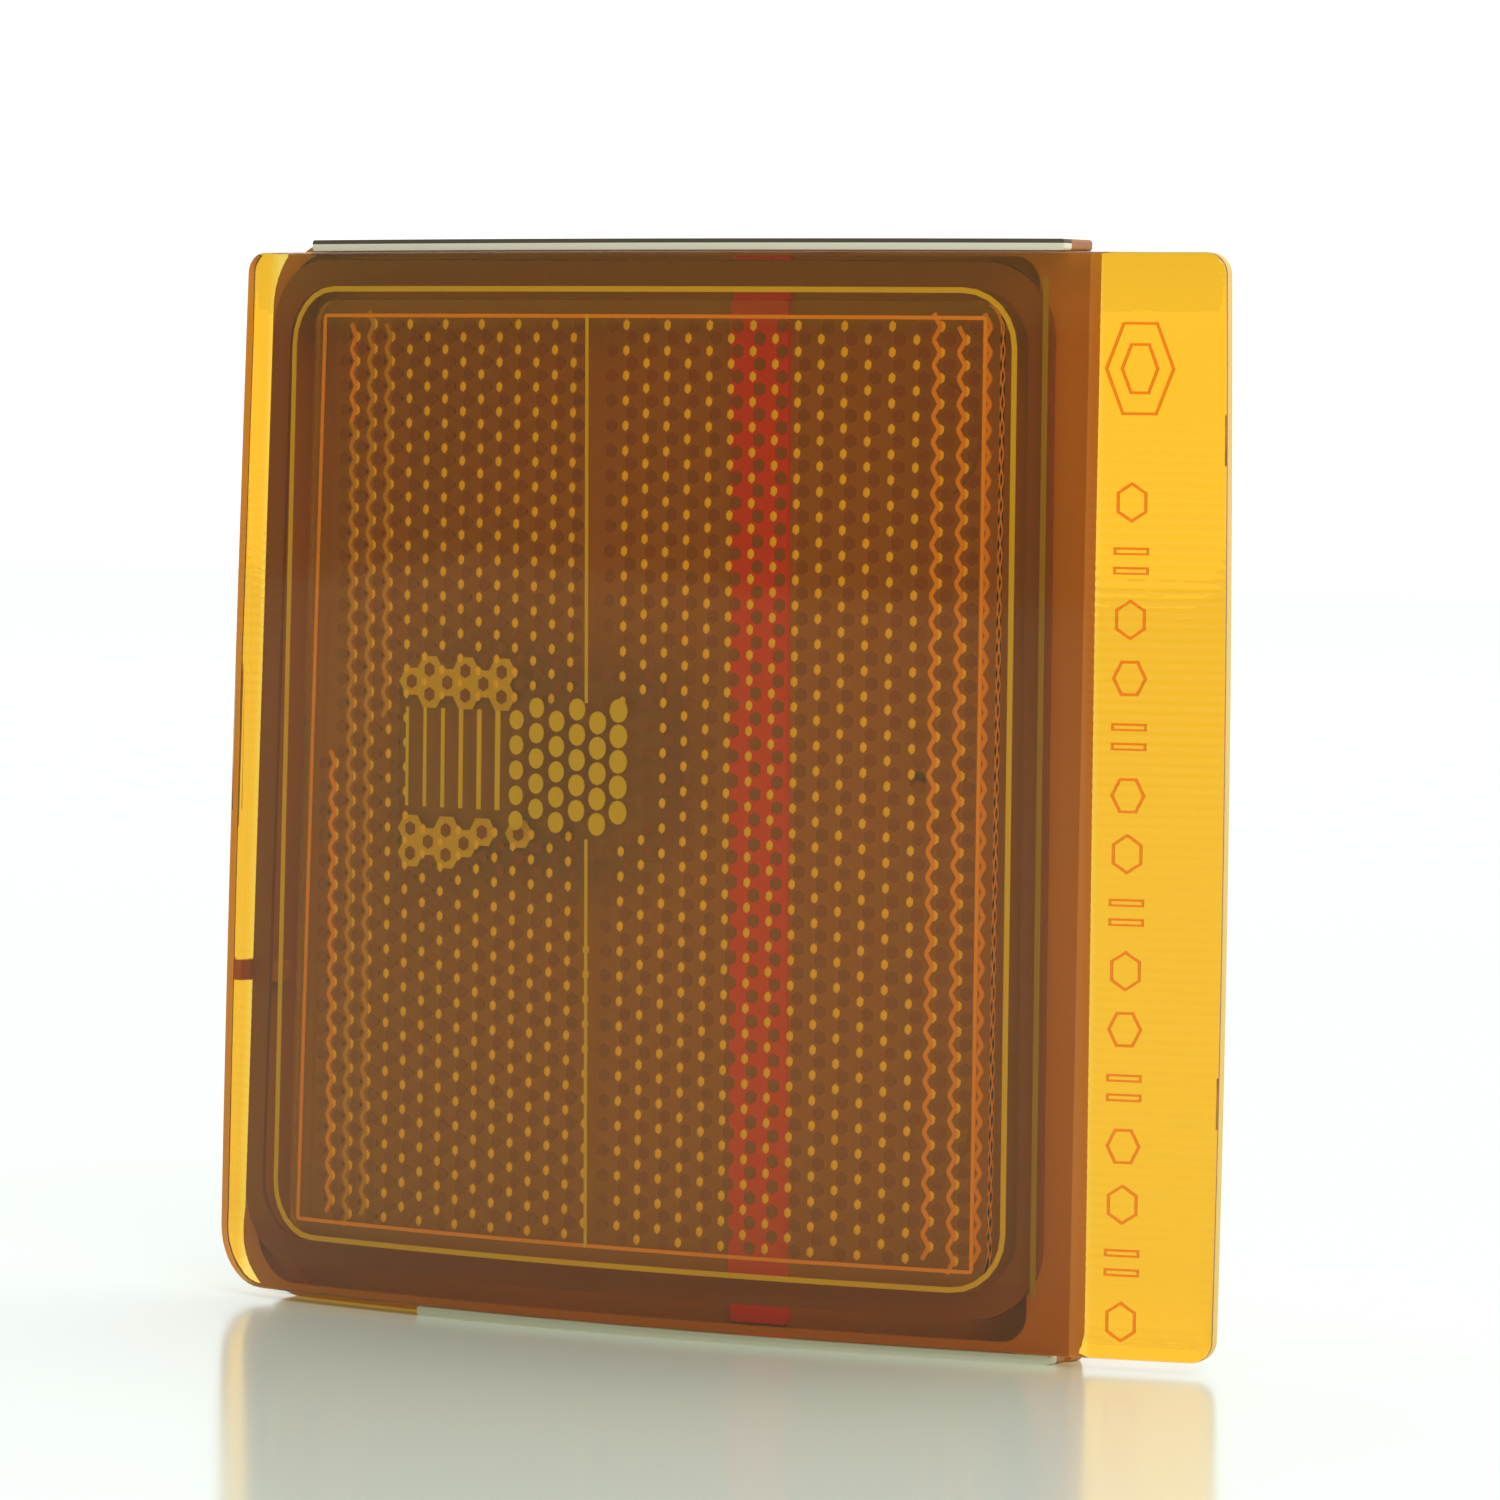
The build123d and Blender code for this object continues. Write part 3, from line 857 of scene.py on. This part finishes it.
# Solid of revolution about Y from a list of (distance along Y, radius)
def turned(bm, x, z, profile, steps=24):
    points = [bm.verts.new((x + radius * mm, y, z)) for y, radius in profile]
    for a, b in zip(points, points[1:]):
        bm.edges.new((a, b))
    bmesh.ops.spin(bm, geom=bm.verts[:] + bm.edges[:], cent=(x, 0, z), axis=(0, 1, 0), dvec=(0, 0, 0),
                   angle=math.radians(360), steps=steps, use_merge=True, use_duplicate=False)


# Each stud keeps its moulded head and gets the crests of its thread
def makeStuds():
    for node in ("stud_lower", "stud_upper"):
        low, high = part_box(node)
        x, z = (low[0] + high[0]) / 2, (low[2] + high[2]) / 2
        start = low[1] + stud["headLength"] * mm
        profile = [(low[1], 0), (low[1], stud["headRadius"])]
        profile += [(start, stud["headRadius"]), (start, stud["radius"])]
        y = start + stud["plain"] * mm
        profile.append((y, stud["radius"]))
        while y + stud["pitch"] * mm < high[1] - stud["tip"] * mm:
            profile.append((y + stud["pitch"] * 0.5 * mm, stud["rootRadius"]))
            y += stud["pitch"] * mm
            profile.append((y, stud["radius"]))
        profile += [(high[1], stud["rootRadius"] - stud["tipInset"]), (high[1], 0)]
        bm = bmesh.new()
        turned(bm, x, z, profile)
        piece = finishMesh(bm, node.replace("stud_", "threadedStud"), zincSteel, smooth=20)
        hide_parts(node)


# Coil of fine wire between the two supports
def makeFilament():
    low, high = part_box("bulb_filament")
    x, y = (low[0] + high[0]) / 2, (low[1] + high[1]) / 2
    curve = bpy.data.curves.new("coil", "CURVE")
    curve.dimensions = "3D"
    line = curve.splines.new("NURBS")
    count = filament["turns"] * 8
    line.points.add(count)
    reach = filament["radius"] * mm
    for i, point in enumerate(line.points):
        turn = 2 * math.pi * i / 8
        height = low[2] + (high[2] - low[2]) * i / count
        point.co = (x + reach * math.cos(turn), y + reach * math.sin(turn), height, 1)
    line.order_u = 3
    line.use_endpoint_u = True
    curve.bevel_depth = filament["wire"] * mm
    curve.bevel_resolution = 1
    curve.use_fill_caps = True
    coil = bpy.data.objects.new("coil", curve)
    mesh = bpy.data.meshes.new_from_object(coil)
    bpy.data.objects.remove(coil)
    bpy.data.curves.remove(curve)
    bm = bmesh.new()
    bm.from_mesh(mesh)
    bpy.data.meshes.remove(mesh)
    piece = finishMesh(bm, "filamentCoil", tungsten, body="bulb", smooth=60)
    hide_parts("bulb_filament")


makeStuds()
makeFilament()
print("studs and filament made")


# Stage, light and camera

stage = {
    "floorSize": 6.0,
    "white": (0.87, 1.0, 0.91),
    "gloss": 0.16,
    "front": (0.27, 0.33, 0.27),
    "back": (1.15, 1.15, 1.15),
    "turnover": (-0.5, 0.3),  # direction along Y over which the front light becomes the back light
    "lamp": 9.0,
    "lampSize": 0.8,
    "lampPlace": (1.0, -0.9, 0.9),
    "lampAim": (0, 0, 0.05),
}
view = {
    "distance": 755.1,
    "azimuth": 32.38,
    "height": 87.3,
    "yaw": 31.78,
    "pitch": -2.373,
    "roll": 0.688,
    "focal": 192,
}


def makeStage():
    bm = bmesh.new()
    bmesh.ops.create_grid(bm, x_segments=8, y_segments=8, size=stage["floorSize"] / 2)
    mesh = bpy.data.meshes.new("floor")
    bm.to_mesh(mesh)
    bm.free()
    floor = bpy.data.objects.new("floor", mesh)
    bpy.context.scene.collection.objects.link(floor)
    mat = newMaterial("paleTable")[0]
    shader = mat.node_tree.nodes["Principled BSDF"]
    shader.inputs["Base Color"].default_value = (*stage["white"], 1)
    shader.inputs["Roughness"].default_value = stage["gloss"]
    mesh.materials.append(mat)
    world = bpy.data.worlds.new("studio")
    world.use_nodes = True
    nodes, links = world.node_tree.nodes, world.node_tree.links
    coords = nodes.new("ShaderNodeTexCoord")
    split = nodes.new("ShaderNodeSeparateXYZ")
    ramp = nodes.new("ShaderNodeMapRange")
    ramp.interpolation_type = "SMOOTHSTEP"
    ramp.inputs["From Min"].default_value = stage["turnover"][0]
    ramp.inputs["From Max"].default_value = stage["turnover"][1]
    links.new(coords.outputs["Generated"], split.inputs["Vector"])
    links.new(split.outputs["Y"], ramp.inputs["Value"])
    sky = nodes.new("ShaderNodeMix")
    sky.data_type = "RGBA"
    sky.inputs["A"].default_value = (*stage["front"], 1)
    sky.inputs["B"].default_value = (*stage["back"], 1)
    links.new(ramp.outputs["Result"], sky.inputs["Factor"])
    links.new(sky.outputs["Result"], nodes["Background"].inputs["Color"])
    bpy.context.scene.world = world
    light = bpy.data.lights.new("softLamp", "AREA")
    light.size = stage["lampSize"]
    light.energy = stage["lamp"]
    lampObject = bpy.data.objects.new("softLamp", light)
    lampObject.location = stage["lampPlace"]
    toLamp = Vector(stage["lampAim"]) - lampObject.location
    lampObject.rotation_euler = toLamp.to_track_quat("-Z", "Y").to_euler()
    bpy.context.scene.collection.objects.link(lampObject)
    bpy.context.scene.view_settings.view_transform = "Standard"


def makeCamera():
    data = bpy.data.cameras.new("camera")
    data.lens = view["focal"]
    data.sensor_width = 36
    data.clip_start = 0.01
    data.clip_end = 20
    camera = bpy.data.objects.new("camera", data)
    bpy.context.scene.collection.objects.link(camera)
    turn = math.radians(view["azimuth"])
    camera.location = (
        view["distance"] * mm * math.sin(turn),
        frontY - view["distance"] * mm * math.cos(turn),
        view["height"] * mm,
    )
    aim = (
        Matrix.Rotation(math.radians(view["yaw"]), 4, "Z")
        @ Matrix.Rotation(math.radians(90 + view["pitch"]), 4, "X")
        @ Matrix.Rotation(math.radians(view["roll"]), 4, "Z")
    )
    camera.rotation_euler = aim.to_euler()
    bpy.context.scene.camera = camera


makeStage()
makeCamera()
print("stage and camera made")
